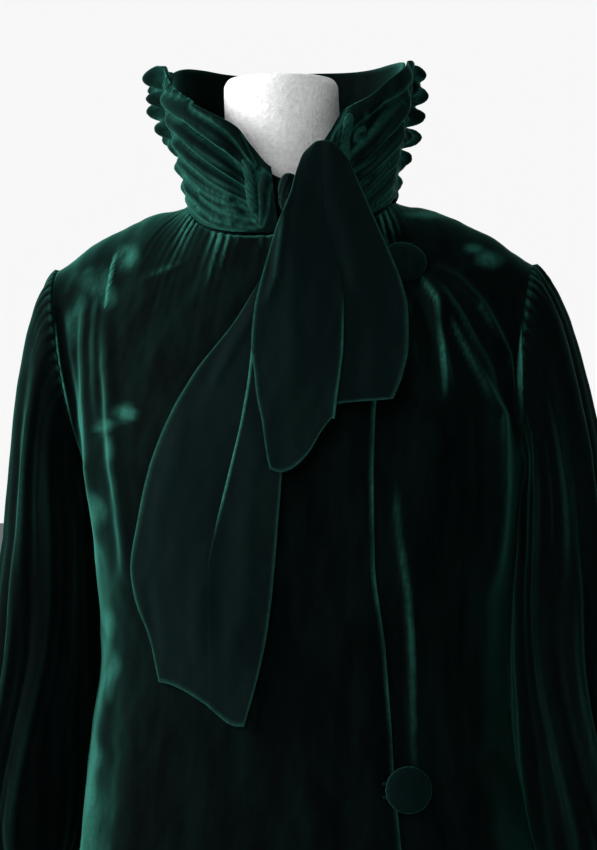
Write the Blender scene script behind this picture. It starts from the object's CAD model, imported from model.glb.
"""Silk velvet evening coat on its dress form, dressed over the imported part.

Metres, +Z up. The coat faces -Y and +X is the wearer's left. The sizes and tables repeat the part's own,
so that each piece lies where its solid does, and the folds, gathers and ruching are worked finer here.
"""

import math

import bpy
import numpy as np
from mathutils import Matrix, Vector


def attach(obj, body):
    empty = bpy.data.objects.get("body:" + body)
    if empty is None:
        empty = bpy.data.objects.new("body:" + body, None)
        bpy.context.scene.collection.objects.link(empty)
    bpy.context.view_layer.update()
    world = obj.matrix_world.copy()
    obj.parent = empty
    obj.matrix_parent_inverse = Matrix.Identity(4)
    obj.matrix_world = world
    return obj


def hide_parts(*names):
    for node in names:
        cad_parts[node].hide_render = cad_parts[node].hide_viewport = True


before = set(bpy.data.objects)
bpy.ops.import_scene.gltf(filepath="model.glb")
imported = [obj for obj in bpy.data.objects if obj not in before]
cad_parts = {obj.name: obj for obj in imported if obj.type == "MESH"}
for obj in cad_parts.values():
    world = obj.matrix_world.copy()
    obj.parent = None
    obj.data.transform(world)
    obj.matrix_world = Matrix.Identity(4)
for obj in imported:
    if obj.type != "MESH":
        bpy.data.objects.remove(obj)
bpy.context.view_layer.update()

# Shoulder line and neckline
SHOULDER_X = -0.006
NECK_HALF = 0.092
NECK_FRONT = 0.078
NECK_BACK = 0.070
NECK_SIDE_Z = 1.400
NECK_SHARE = 0.55
COLUMN_FAN = 1.5
TIP_HALF = 0.218
TIP_Z = 1.342
PEAK_ROUND = 0.030
SHOULDER_BOW = (0.0085, 0.35, 0.65)
UNDERARM_Z = 1.165
HEM_Z = 0.120
ARMHOLE_DEPTH = 0.075
# How the yoke's surface leaves the shoulder line and arrives at the underarm's height: the plain value,
# then what is added in the middle of the front, in the middle of the back and at the armhole
LEAVE_OUT = (0.048, 0.037, 0.037, 0.013)
LEAVE_DOWN = (0.016, 0.004, -0.023, 0.0)
ARRIVE_IN = (0.012, 0.0, -0.010, 0.0)
ARRIVE_UP = (0.085, 0.010, 0.035, -0.060)
YOKE_MIDDLE_TO = 0.55
YOKE_ARMHOLE_FROM = 0.62
ROUND = 0.87  # 1 would make the level rings elliptical, and less makes them squarer
LAP_DROP = 0.0042  # how far the left front lies below the right one, under the lap
LAP_DROP_TOP = 0.0020  # what is added to that at the shoulder
LAP_UNDER = 0.030  # how far the left front runs on under the lap

# Rows of the fronts and the back: the yoke's, those down to SPARSE_BELOW_Z, and those below it
BODY_ROWS = (54, 88, 48)
SPARSE_BELOW_Z = 0.74
FRONT_RIGHT_COLUMNS = 168
FRONT_LEFT_COLUMNS = 100
BACK_COLUMNS = 144

# Walls of cloth, and how far their edges are turned in
CLOTH = 0.0013
CUFF_CLOTH = 0.0022
STAND_CLOTH = 0.0012
TIE_CLOTH = 0.0011
# The edge is given as the grid's axis, and whether it is that axis's last row or column.
SKIRT_ROLL = ((0, True), 0.0016)
LAP_ROLL = ((1, True), 0.0017)
CUFF_ROLL = ((0, True), 0.0014)

# Bends per metre at which a ridge's pile starts to look lighter, and looks lightest
CREST_BENDS = (60.0, 420.0)
COLLAR_BENDS = (100.0, 520.0)
COLLAR_BLUR = 4  # passes that soften the collar's light ridges
COLLAR_WORN = 1.3  # how light those ridges are
LAP_EDGE_COLUMNS = 9
LAP_EDGE_WORN = 0.5  # how light the lap's turned edge is
HEM_WORN = 0.55  # how light the rolled hems of the tie are
FLAT_WORN = 0.4  # how light the tie's ridges are, away from its folded edge

# Small unevenness of the cloth, the gathers under the collar and the seam at the side
BODY_RIPPLE = 0.00045
SLEEVE_RIPPLE = 0.0004
TIE_RIPPLE = 0.0004
GATHERS = 27.0  # as many would fit from the middle to the side, and those under the collar are made
GATHER_HEIGHT = 0.0012
GATHER_FADE = 0.16  # share of the yoke's depth over which they shrink to about a third
SEAM_DIP = 0.0010
SEAM_HALF = 0.006  # half width of the dip, as a share of the way from the middle to the side

# Body rings: height, half widths on the wearer's right and left, depths to the front and back
SECTIONS = (
    (0.120, 0.345, 0.350, 0.300, 0.310),
    (0.300, 0.312, 0.317, 0.262, 0.272),
    (0.500, 0.268, 0.276, 0.215, 0.225),
    (0.680, 0.222, 0.236, 0.172, 0.178),
    (0.820, 0.196, 0.212, 0.150, 0.148),
    (0.870, 0.192, 0.204, 0.142, 0.136),
    (0.940, 0.184, 0.191, 0.134, 0.116),
    (1.000, 0.177, 0.187, 0.130, 0.104),
    (1.090, 0.182, 0.194, 0.143, 0.107),
    (1.165, 0.193, 0.204, 0.147, 0.114),
)

# Free edge of the right front: height, distance to the wearer's left of the middle
LAP_EDGE = (
    (0.120, 0.140),
    (0.500, 0.130),
    (0.820, 0.116),
    (0.900, 0.107),
    (0.950, 0.103),
    (1.020, 0.097),
    (1.090, 0.091),
    (1.220, 0.091),
    (1.300, 0.092),
    (1.342, 0.090),
    (1.365, 0.081),
    (1.380, 0.064),
    (1.400, 0.050),
)

# Folds of the fronts: the line they follow in x and z, height, half width
FRONT_FOLDS = (
    (((0.119, 1.332), (0.133, 1.307), (0.142, 1.270), (0.148, 1.222)), 0.0078, 0.0055),
    (
        ((0.124, 1.330), (0.141, 1.303), (0.166, 1.252), (0.186, 1.210), (0.187, 1.150), (0.180, 1.060)),
        0.0088,
        0.0066,
    ),
    (((0.130, 1.338), (0.150, 1.326), (0.170, 1.304), (0.194, 1.258), (0.205, 1.205)), 0.0065, 0.0055),
    (((0.128, 1.334), (0.155, 1.294), (0.172, 1.262), (0.186, 1.236)), 0.0026, 0.0035),
    (((0.113, 1.320), (0.120, 1.270), (0.128, 1.200), (0.128, 1.130)), 0.0030, 0.0090),
    (((0.111, 1.180), (0.112, 1.119), (0.118, 1.060), (0.123, 0.930), (0.128, 0.880)), 0.0050, 0.0065),
    (((0.140, 1.110), (0.146, 1.020), (0.150, 0.930)), 0.0022, 0.0090),
    (((0.184, 1.140), (0.174, 1.060), (0.168, 0.960)), 0.0035, 0.0090),
    (((0.196, 0.915), (0.212, 0.870), (0.226, 0.830), (0.245, 0.760)), 0.0055, 0.0090),
    (((0.170, 0.900), (0.180, 0.820), (0.196, 0.700)), 0.0040, 0.0120),
    (((-0.161, 1.356), (-0.161, 1.306)), 0.0026, 0.0016),
    (((-0.161, 1.312), (-0.154, 1.270), (-0.146, 1.227), (-0.132, 1.132), (-0.129, 1.060)), 0.0046, 0.0075),
    (((-0.185, 1.318), (-0.181, 1.270), (-0.166, 1.169), (-0.158, 1.090)), 0.0042, 0.0060),
    (((-0.204, 1.317), (-0.190, 1.255), (-0.170, 1.150), (-0.164, 1.070)), 0.0036, 0.0060),
    (((-0.172, 1.330), (-0.170, 1.275), (-0.158, 1.200)), 0.0020, 0.0040),
    (((-0.150, 1.000), (-0.160, 0.930), (-0.168, 0.850), (-0.178, 0.760)), 0.0042, 0.0110),
    (((-0.120, 0.980), (-0.130, 0.840), (-0.142, 0.700)), 0.0034, 0.0150),
    (((-0.085, 1.345), (-0.105, 1.338), (-0.128, 1.330)), 0.0014, 0.0030),
)
BACK_FOLDS = (
    (((-0.150, 1.325), (-0.143, 1.240), (-0.135, 1.150), (-0.128, 1.060)), 0.0044, 0.0100),
    (((0.150, 1.325), (0.143, 1.240), (0.133, 1.150), (0.126, 1.060)), 0.0044, 0.0100),
    (((-0.180, 1.300), (-0.172, 1.220), (-0.160, 1.120)), 0.0036, 0.0080),
    (((0.180, 1.300), (0.172, 1.220), (0.160, 1.120)), 0.0036, 0.0080),
    (((-0.070, 1.080), (-0.075, 0.980), (-0.088, 0.830), (-0.110, 0.640)), 0.0046, 0.0140),
    (((0.070, 1.080), (0.076, 0.980), (0.090, 0.830), (0.112, 0.640)), 0.0046, 0.0140),
    (((0.000, 1.060), (0.002, 0.960), (0.004, 0.800)), 0.0030, 0.0130),
    (((-0.130, 1.000), (-0.142, 0.900), (-0.160, 0.760)), 0.0036, 0.0120),
    (((0.132, 1.000), (0.146, 0.900), (0.166, 0.760)), 0.0036, 0.0120),
)
SKIRT_FLUTES = 2
FLUTE_DEPTH = 0.012
FLUTE_START_Z = 0.800
FLUTE_CALM = (0.025, 0.055)  # how far inside the lap's edge the skirt lies flat, and half the width of that

# Places where the pile is brushed the other way: x, z, half width, half height, strength
BRUSHED = (
    (-0.147, 1.352, 0.013, 0.010, 0.60),
    (-0.166, 1.325, 0.010, 0.016, 0.42),
    (-0.181, 1.330, 0.014, 0.010, 0.60),
    (-0.196, 1.300, 0.008, 0.022, 0.45),
    (-0.134, 1.212, 0.009, 0.006, 0.45),
    (-0.152, 1.200, 0.010, 0.005, 0.45),
    (-0.146, 1.180, 0.007, 0.010, 0.35),
    (-0.160, 1.127, 0.008, 0.014, 0.35),
    (-0.156, 1.026, 0.011, 0.012, 0.45),
    (-0.152, 0.980, 0.008, 0.018, 0.45),
    (-0.184, 1.130, 0.008, 0.080, 0.60),
    (-0.180, 1.030, 0.014, 0.110, 0.80),
    (-0.186, 0.930, 0.019, 0.090, 0.90),
    (-0.194, 0.850, 0.022, 0.100, 0.90),
    (-0.172, 0.900, 0.012, 0.080, 0.50),
    (-0.160, 0.820, 0.014, 0.070, 0.35),
    (0.178, 1.347, 0.010, 0.007, 0.50),
    (0.120, 1.388, 0.016, 0.004, 0.60),
    (0.165, 1.356, 0.008, 0.004, 0.35),
    (-0.090, 1.392, 0.014, 0.004, 0.45),
    (-0.062, 1.384, 0.012, 0.004, 0.35),
)

# Arm rings: height, inner and outer reach for the wearer's right and left arm, half depth, fold height
ARM_SECTIONS = (
    (0.7950, 0.226, 0.284, 0.241, 0.302, 0.045, 0.0020),
    (0.8080, 0.213, 0.296, 0.229, 0.314, 0.066, 0.0050),
    (0.8500, 0.202, 0.303, 0.2125, 0.324, 0.084, 0.0070),
    (0.9200, 0.193, 0.296, 0.1985, 0.314, 0.084, 0.0070),
    (1.0000, 0.185, 0.285, 0.193, 0.298, 0.078, 0.0065),
    (1.1000, 0.192, 0.272, 0.1995, 0.281, 0.068, 0.0055),
)
ARM_TOP_Z = 1.10
ARM_CENTRE_Y = 0.004
MOUTH_Z = 0.83  # the sleeve's rows lie closer together below this
SLEEVE_END_Z = 0.7955
SLEEVE_COLUMNS = 180
CAP_ROWS = 42
ARM_ROWS = 60
MOUTH_ROWS = 14
# How the sleeve's cap leaves the armhole and arrives at the first level ring. A pair is the value at the
# underarm and what is added to it at the shoulder's tip.
CAP_CLEAR = 0.0012
CAP_OUT = (0.006, 0.028)
CAP_FORWARD = 0.014
CAP_DOWN = 0.012
CAP_END_IN = 0.004
CAP_END_UP = (0.020, 0.080)
SLEEVE_FOLDS = 10
SMALL_FOLDS = 23
SHIRR_FOLDS = 44  # small gathers at the armhole and above the cuff
SHIRR_TOP = 0.0030
SHIRR_CUFF = 0.0022
INSIDE_FULL = 0.0028  # how much fuller the sleeve is towards the body
CAP_SLIM = 0.0050  # how much slimmer the cap is than its solid, between its gathers
CUFF_TOP_Z = 0.7950
CUFF_BOTTOM_Z = 0.7350

# Collar: angle from the front, positive towards the wearer's left, and the height of the stand there
COLLAR_HEIGHTS = (
    (-180.0, 0.140),
    (-130.0, 0.137),
    (-100.0, 0.128),
    (-70.0, 0.122),
    (-45.0, 0.114),
    (-24.0, 0.102),
    (-14.0, 0.092),
    (-6.0, 0.074),
    (3.0, 0.056),
    (11.0, 0.050),
    (20.0, 0.060),
    (30.0, 0.083),
    (37.0, 0.099),
    (48.0, 0.106),
    (60.0, 0.116),
    (90.0, 0.125),
    (130.0, 0.137),
    (180.0, 0.140),
)
COLLAR_SLIT = 10.0  # where the two ends of the stand meet
COLLAR_SLIT_HALF = 1.6
STAND_TOP_HALF = 0.108
STAND_TOP_FRONT = 0.086
STAND_TOP_BACK = 0.084
STAND_LEAN_X = -0.005
COLLAR_SEAT = 0.0009

# Cinch rings: angle from the front, lowest and highest share of the height
COLLAR_RINGS = (
    (-9.0, 0.20, 0.75),
    (-70.0, 0.45, 0.95),
    (-180.0, 0.25, 0.80),
    (88.0, 0.45, 0.95),
    (38.0, 0.40, 0.95),
)
# Stretches of the ruched cover: from angle, to angle, columns
SWAGS = ((3, -9, 40), (-9, -70, 210), (-70, -180, 250), (180, 88, 230), (88, 38, 190), (38, 17, 60))
SWAG_ROWS = 110
SWAG_LOW = 0.03
SWAG_TOP = 0.94
SWAG_END_ROUND = 0.34  # power that rounds the cover's lower and upper edge
# How much higher the cover rolls over the edge in front, and the angles between which that runs out
SWAG_ROLL = (0.10, 78.0, 112.0)
STAND_LOWER = 0.07  # how much lower the stand ends there, inside the roll
STAND_COLUMNS = 200
STAND_ROWS = 32
STITCH = (0.955, 0.007, 0.0005)  # line stitched inside the stand: share up it, half width, height
SWAG_THIN = 0.0030
SWAG_THICK = 0.0105
SWAG_LEAST = 0.0018
SWAG_CLEAR = 0.0004  # from the stand to the cover and the rings
# Radius and height in metres at which the cover is laid flat to work out its ruching
FLAT_RADIUS = 0.094
FLAT_HEIGHT = 0.118
# Long puffs of the cover: places (angle, share up) that each one follows, half width in metres, height
PUFFS = (
    (((-60, 0.90), (-39, 0.93), (-27, 0.88), (-16, 0.80), (-10, 0.72)), 0.0125, 0.0125),
    (((-34, 1.02), (-24, 1.02), (-15, 0.98), (-9, 0.86)), 0.0090, 0.0105),
    (((-66, 0.74), (-47, 0.74), (-33, 0.68), (-22, 0.60), (-13, 0.52)), 0.0110, 0.0095),
    (((-66, 0.55), (-52, 0.57), (-38, 0.52), (-24, 0.43), (-12, 0.36)), 0.0100, 0.0070),
    (((-66, 0.39), (-50, 0.42), (-34, 0.34), (-22, 0.29)), 0.0095, 0.0056),
    (((-40, 0.27), (-26, 0.21), (-9, 0.17)), 0.0080, 0.0050),
    (((-62, 0.24), (-48, 0.20), (-30, 0.12), (-10, 0.08)), 0.0085, 0.0046),
    (((83, 0.96), (70, 0.96), (56, 0.99), (44, 0.96), (39, 0.90)), 0.0150, 0.0135),
    (((84, 0.80), (74, 0.72), (62, 0.66), (52, 0.60), (42, 0.52)), 0.0115, 0.0105),
    (((88, 0.60), (78, 0.52), (66, 0.48), (52, 0.42), (40, 0.36)), 0.0105, 0.0080),
    (((94, 0.42), (80, 0.36), (64, 0.33), (50, 0.24)), 0.0092, 0.0060),
    (((98, 0.26), (84, 0.22), (66, 0.15), (52, 0.10)), 0.0090, 0.0054),
    (((100, 0.10), (76, 0.09), (50, 0.05)), 0.0060, 0.0044),
    (((-8, 0.03), (-30, 0.06), (-60, 0.10)), 0.0060, 0.0040),
    (((-76, 0.03), (-120, 0.02), (-176, 0.02)), 0.0070, 0.0040),
    (((98, 0.03), (130, 0.02), (176, 0.02)), 0.0070, 0.0040),
    (((33, 0.92), (26, 0.72), (20, 0.52)), 0.0080, 0.0070),
    (((36, 0.62), (29, 0.40), (22, 0.22)), 0.0075, 0.0060),
    (((-80, 0.80), (-100, 0.86), (-130, 0.88), (-160, 0.80), (-178, 0.70)), 0.0130, 0.0110),
    (((-80, 0.60), (-104, 0.66), (-134, 0.66), (-162, 0.58), (-178, 0.52)), 0.0105, 0.0090),
    (((-78, 0.42), (-104, 0.46), (-136, 0.46), (-164, 0.42), (-178, 0.38)), 0.0085, 0.0072),
    (((-76, 0.26), (-104, 0.28), (-136, 0.28), (-164, 0.28), (-178, 0.28)), 0.0075, 0.0060),
    (((-76, 0.12), (-104, 0.12), (-136, 0.12), (-172, 0.16)), 0.0070, 0.0050),
    (((98, 0.82), (118, 0.88), (144, 0.88), (166, 0.80), (178, 0.70)), 0.0130, 0.0110),
    (((98, 0.62), (118, 0.66), (144, 0.66), (166, 0.58), (178, 0.52)), 0.0105, 0.0090),
    (((98, 0.46), (120, 0.46), (146, 0.46), (168, 0.42), (178, 0.38)), 0.0085, 0.0072),
    (((98, 0.28), (120, 0.28), (146, 0.28), (168, 0.28)), 0.0075, 0.0060),
    (((98, 0.13), (120, 0.12), (146, 0.12), (172, 0.16)), 0.0070, 0.0050),
    (((1, 0.86), (-3, 0.60), (-5, 0.30), (-7, 0.10)), 0.0060, 0.0050),
)
# Frills and knuckles of the bunches: angle, share up, half width in metres, height
LOBES = (
    (-84.0, 0.95, 0.0110, 0.0300),
    (-96.0, 0.84, 0.0100, 0.0280),
    (-78.0, 0.80, 0.0085, 0.0290),
    (-108.0, 1.00, 0.0080, 0.0120),
    (-120.0, 0.99, 0.0070, 0.0090),
    (-96.0, 1.02, 0.0070, 0.0120),
    (-87.0, 0.68, 0.0095, 0.0240),
    (-104.0, 0.74, 0.0080, 0.0150),
    (-66.0, 0.98, 0.0065, 0.0125),
    (-58.0, 0.99, 0.0055, 0.0095),
    (-51.0, 1.00, 0.0045, 0.0080),
    (-45.0, 1.01, 0.0045, 0.0070),
    (-82.0, 0.56, 0.0085, 0.0190),
    (-92.0, 0.46, 0.0080, 0.0160),
    (-10.0, 0.80, 0.0060, 0.0105),
    (-13.0, 0.68, 0.0055, 0.0085),
    (72.0, 1.06, 0.0060, 0.0110),
    (80.0, 1.06, 0.0065, 0.0125),
    (91.0, 1.00, 0.0095, 0.0240),
    (101.0, 0.92, 0.0095, 0.0250),
    (104.0, 0.76, 0.0095, 0.0220),
    (112.0, 1.00, 0.0080, 0.0115),
    (99.0, 0.60, 0.0085, 0.0200),
    (107.0, 0.46, 0.0085, 0.0175),
    (88.0, 0.34, 0.0050, 0.0070),
    (80.0, 0.20, 0.0046, 0.0060),
    (70.0, 0.14, 0.0046, 0.0055),
    (100.0, 0.30, 0.0070, 0.0120),
    (46.0, 0.74, 0.0045, 0.0065),
)
CRINKLE = 0.0007  # small drawn lines that run along the puffs
PUFF_FULL = 1.25  # how much fuller the puffs are than the heights above
RING_FLAT = 3.0
RING_PINCH = (0.55, 6.5)  # share of the height lost at a ring, and its half width in degrees
RING_HALF = 2.9
RING_THICK = 0.0046
RING_WORN = 0.22  # how light the rings are

# Knot of the tie
KNOT_AT = (0.0115, -0.0945, 1.4030)
KNOT_HALF = (0.0095, 0.0125, 0.0175)

# Short end of the tie: height, left edge, folded edge, right edge, y of its middle
SHORT_END = (
    (1.163, 0.011, 0.056, 0.066, -0.160),
    (1.180, 0.007, 0.059, 0.080, -0.158),
    (1.205, 0.003, 0.063, 0.102, -0.154),
    (1.225, -0.002, 0.065, 0.112, -0.151),
    (1.245, -0.005, 0.067, 0.119, -0.148),
    (1.270, -0.008, 0.069, 0.123, -0.145),
    (1.300, -0.006, 0.069, 0.122, -0.142),
    (1.325, -0.001, 0.067, 0.116, -0.141),
    (1.350, 0.006, 0.060, 0.106, -0.141),
    (1.375, 0.015, 0.052, 0.095, -0.140),
    (1.400, 0.024, 0.050, 0.084, -0.138),
)
# Its turned-over top, from the knot up its back and over: place along, z, left, right, y
SHORT_TOP = (
    (0.0, 1.4000, 0.0215, 0.046, -0.0952),
    (1.0, 1.4250, 0.0260, 0.053, -0.1000),
    (2.0, 1.4400, 0.0330, 0.058, -0.1080),
    (3.0, 1.4450, 0.0360, 0.062, -0.1190),
    (4.0, 1.4380, 0.0320, 0.068, -0.1280),
    (5.0, 1.4220, 0.0280, 0.076, -0.1350),
    (6.0, 1.4000, 0.0240, 0.084, -0.1380),
)
# Lower edge of the short end: share of the way across, height
SHORT_BOTTOM = (
    (0.0, 1.165),
    (0.09, 1.162),
    (0.17, 1.164),
    (0.25, 1.169),
    (0.34, 1.180),
    (0.42, 1.200),
    (0.50, 1.213),
    (0.60, 1.219),
    (1.0, 1.224),
)
# Long end of the tie: height, left edge, folded edge, right edge, how far it stands off the chest
LONG_END = (
    (0.944, -0.090, -0.048, -0.018, 0.0040),
    (0.980, -0.098, -0.050, -0.008, 0.0040),
    (1.020, -0.109, -0.050, 0.001, 0.0040),
    (1.053, -0.121, -0.049, 0.007, 0.0040),
    (1.075, -0.124, -0.048, 0.010, 0.0040),
    (1.116, -0.116, -0.039, 0.015, 0.0040),
    (1.170, -0.101, -0.025, 0.020, 0.0040),
    (1.210, -0.085, -0.017, 0.024, 0.0040),
    (1.247, -0.064, -0.013, 0.028, 0.0040),
    (1.293, -0.030, -0.011, 0.030, 0.0040),
    (1.324, -0.013, -0.006, 0.030, 0.0042),
    (1.347, -0.002, 0.006, 0.030, 0.0090),
    (1.385, 0.004, 0.010, 0.026, 0.0208),
)
LONG_LEFT_BOTTOM = 0.979
LONG_RIGHT_BOTTOM = 0.944
TIE_CLEAR = 0.0125
CHEST_TOP_Z = 1.355
CHEST_TOP_SLOPE = 0.55
LAYERED = 0.0050
OVERLAP = 0.024  # how far a folded-over layer reaches back under
TIE_COLUMNS = 70
LONG_ROWS = 170
SHORT_ROWS = 130
SHORT_TOP_ROWS = 40
HEM_ROLL = 0.0007  # how far the rolled hems of the tie stand up
TOP_ROUND = 0.008  # how much lower the sides of the turned-over top are than its middle
# Creases of the tie's ends: the line in x and z, height, half width
SHORT_CREASES = (
    (((0.023, 1.425), (0.017, 1.370), (0.012, 1.330), (0.002, 1.300)), 0.0030, 0.0040),
    (((0.036, 1.420), (0.030, 1.360), (0.026, 1.300), (0.028, 1.230)), 0.0014, 0.0090),
    (((0.060, 1.420), (0.074, 1.360), (0.086, 1.300)), 0.0016, 0.0090),
    (((0.094, 1.300), (0.092, 1.250), (0.084, 1.228)), 0.0016, 0.0100),
)
LONG_CREASES = (
    (((0.010, 1.370), (-0.010, 1.310), (-0.034, 1.262), (-0.060, 1.200)), 0.0022, 0.0060),
    (((-0.070, 1.210), (-0.088, 1.150), (-0.098, 1.080)), 0.0016, 0.0090),
    (((-0.108, 1.070), (-0.104, 1.030), (-0.100, 1.000)), -0.0022, 0.0060),
    (((0.000, 1.200), (-0.010, 1.120), (-0.022, 1.040), (-0.034, 0.980)), 0.0020, 0.0110),
    (((-0.052, 1.100), (-0.058, 1.040), (-0.060, 0.990)), 0.0018, 0.0100),
)

# Buttons: x, z of the middle
BUTTONS = {"upper": (0.1065, 1.3405), "lower": (0.1200, 0.8910)}
BUTTON_HALF = 0.0200
BUTTON_LEAN = 0.0120
BUTTON_DOME = 0.0085
BUTTON_LIFT = 0.0050
SHANK_HALF = 0.0040
LOOP_HALF = 0.0013
LOOP_LEG = 0.0210
LOOP_SHANK_CLEAR = 0.0004
LOOP_CLEAR = 0.0009
LOOP_RISE = 0.0028  # the most that a fold under the loop lifts it

# Dress form: height, middle x, middle y, half width, half depth, squareness of the ring
FORM_RINGS = (
    (0.7000, 0.000, 0.000, 0.150, 0.118, 2.0),
    (0.7150, 0.000, 0.000, 0.163, 0.130, 2.0),
    (0.8200, 0.002, 0.000, 0.170, 0.132, 2.1),
    (0.9200, 0.002, -0.002, 0.148, 0.110, 2.1),
    (1.0000, 0.002, -0.004, 0.124, 0.090, 2.1),
    (1.0800, 0.001, -0.008, 0.139, 0.098, 2.1),
    (1.1700, 0.000, -0.014, 0.160, 0.112, 2.2),
    (1.2500, -0.002, -0.008, 0.162, 0.094, 2.1),
    (1.3100, -0.004, -0.002, 0.166, 0.072, 1.9),
    (1.3420, -0.006, 0.000, 0.172, 0.056, 1.45),
    (1.3600, -0.006, 0.000, 0.168, 0.050, 1.3),
    (1.3760, -0.006, 0.000, 0.150, 0.042, 1.1),
    (1.3880, -0.006, 0.000, 0.122, 0.030, 1.05),
    (1.3960, -0.007, -0.004, 0.066, 0.042, 1.7),
    (1.4250, -0.009, -0.012, 0.055, 0.052, 2.0),
    (1.4700, -0.011, -0.016, 0.0515, 0.053, 2.0),
    (1.5020, -0.012, -0.018, 0.0510, 0.053, 2.0),
    (1.5090, -0.012, -0.018, 0.0480, 0.050, 2.0),
    (1.5118, -0.012, -0.018, 0.0420, 0.044, 2.0),
    (1.5120, -0.012, -0.018, 0.0010, 0.001, 2.0),
)

# Lamps: place, height they aim at, size in metres and power in watts
LAMPS = {
    "key": ((-2.5, -0.7, 2.2), 1.15, 1.3, 165.0),
    "front_fill": ((-0.5, -3.4, 2.6), 1.1, 2.2, 72.0),
    "right_fill": ((2.8, -1.4, 1.8), 1.1, 1.6, 10.0),
    "back_fill": ((0.6, 3.2, 2.6), 1.1, 2.4, 60.0),
}

# Velvets: colour face on, colour in its lighter clouds, sheen, and how light its ridges and rims are
VELVETS = {
    "coat_velvet": ((0.0006, 0.0015, 0.0015, 1), (0.0011, 0.0048, 0.0040, 1), 0.05, 1.0, 0.9),
    "sleeve_velvet": ((0.0007, 0.0017, 0.0017, 1), (0.0011, 0.0042, 0.0036, 1), 0.04, 0.30, 0.35),
    "tie_velvet": ((0.0016, 0.0044, 0.0044, 1), (0.0022, 0.0064, 0.0060, 1), 0.025, 0.50, 0.22),
    "collar_velvet": ((0.0009, 0.0036, 0.0033, 1), (0.0020, 0.0100, 0.0084, 1), 0.14, 1.0, 0.6),
    "button_velvet": ((0.0010, 0.0048, 0.0044, 1), (0.0016, 0.0086, 0.0074, 1), 0.07, 0.5, 0.5),
}
GLANCE = (0.030, 0.160, 0.122, 1)  # the pile seen from its side, bent open or brushed
SHEEN = (0.10, 0.62, 0.48, 1.0)
JERSEY = ((0.60, 0.60, 0.59, 1), (0.78, 0.78, 0.78, 1))
STEEL = ((0.46, 0.46, 0.47, 1), (0.60, 0.60, 0.61, 1))

# Camera: the photograph's height, turn and scale
CAMERA_TURN = 12.0  # degrees, towards the wearer's left
CAMERA_AWAY = 2.6
CAMERA_Z = 1.202
CAMERA_LENS = 122.35


# Curves and tables
def ease(value, start, end):
    share = np.clip((value - start) / (end - start), 0.0, 1.0)
    return share * share * (3.0 - 2.0 * share)


def bump(value, half):
    return np.exp(-((value / half) ** 2))


def read(table, key, column):
    """One column of a table at each key, on a smooth curve through the rows that doesn't overshoot."""
    keys = np.array([row[0] for row in table], float)
    values = np.array([row[column] for row in table], float)
    key = np.clip(key, keys[0], keys[-1])
    low = np.clip(np.searchsorted(keys, key, side="right") - 1, 0, len(keys) - 2)
    spans = np.diff(keys)
    slopes = np.diff(values) / spans
    product = slopes[:-1] * slopes[1:]
    total = slopes[:-1] + slopes[1:]
    inner = np.where(product > 0.0, 2.0 * product / np.where(total == 0.0, 1.0, total), 0.0)
    tangents = np.concatenate((slopes[:1], inner, slopes[-1:]))
    t = (key - keys[low]) / spans[low]
    start, end = tangents[low] * spans[low], tangents[low + 1] * spans[low]
    return (
        values[low] * (2 * t**3 - 3 * t**2 + 1)
        + start * (t**3 - 2 * t**2 + t)
        + values[low + 1] * (3 * t**2 - 2 * t**3)
        + end * (t**3 - t**2)
    )


def bezier(p0, p1, p2, p3, t):
    t = np.asarray(t)[..., None]
    rest = 1.0 - t
    return p0 * rest**3 + p1 * 3 * rest**2 * t + p2 * 3 * rest * t**2 + p3 * t**3


def stacked(*parts):
    return np.stack(np.broadcast_arrays(*parts), axis=-1)


# The coat's face
def body_ring(u, z, face):
    turn = np.abs(u) * math.pi / 2
    side = np.where(u > 0, read(SECTIONS, z, 2), read(SECTIONS, z, 1))
    depth = read(SECTIONS, z, 3 if face < 0 else 4)
    x = np.copysign(side * np.sin(turn) ** ROUND, u)
    return stacked(x, face * depth * np.maximum(np.cos(turn), 0.0) ** ROUND, z)


NECK_U = 2 / math.pi * math.asin((NECK_HALF / TIP_HALF) ** (1 / ROUND))
NECK_SLANT = math.hypot(NECK_HALF, PEAK_ROUND)
SHOULDER_FALL = (NECK_SIDE_Z - TIP_Z) / (math.hypot(TIP_HALF, PEAK_ROUND) - NECK_SLANT)


def shoulder_z(reach):
    rise, full_from, full_to = SHOULDER_BOW
    share = (reach - NECK_HALF) / (TIP_HALF - NECK_HALF)
    bow = rise * ease(share, 0.0, full_from) * (1.0 - ease(share, full_to, 1.0))
    return NECK_SIDE_Z + SHOULDER_FALL * (NECK_SLANT - np.hypot(reach, PEAK_ROUND)) + bow


def shoulder_point(u):
    reach = TIP_HALF * np.sin(np.abs(u) * math.pi / 2) ** ROUND
    return stacked(SHOULDER_X + np.copysign(reach, u), 0.0, shoulder_z(reach))


def yoke_surface(u, share, face):
    """Smooth surface from the shoulder line, share 0, down to the underarm's height, share 1."""
    u, share = np.broadcast_arrays(np.asarray(u, float), np.asarray(share, float))
    start, end = shoulder_point(u), body_ring(u, np.full(u.shape, UNDERARM_Z), face)
    middle = 1.0 - ease(np.abs(u), 0.0, YOKE_MIDDLE_TO)
    armhole = ease(np.abs(u), YOKE_ARMHOLE_FROM, 1.0)

    def value(parts):
        return parts[0] + parts[1 if face < 0 else 2] * middle + parts[3] * armhole

    leave = start + stacked(0.0, face * value(LEAVE_OUT), -value(LEAVE_DOWN))
    swing_y = (1.0 - armhole) * (end[..., 1] - face * value(ARRIVE_IN)) + armhole * face * ARMHOLE_DEPTH
    arrive = stacked(end[..., 0], swing_y, end[..., 2] + value(ARRIVE_UP))
    return bezier(start, leave, arrive, end, share)


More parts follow.
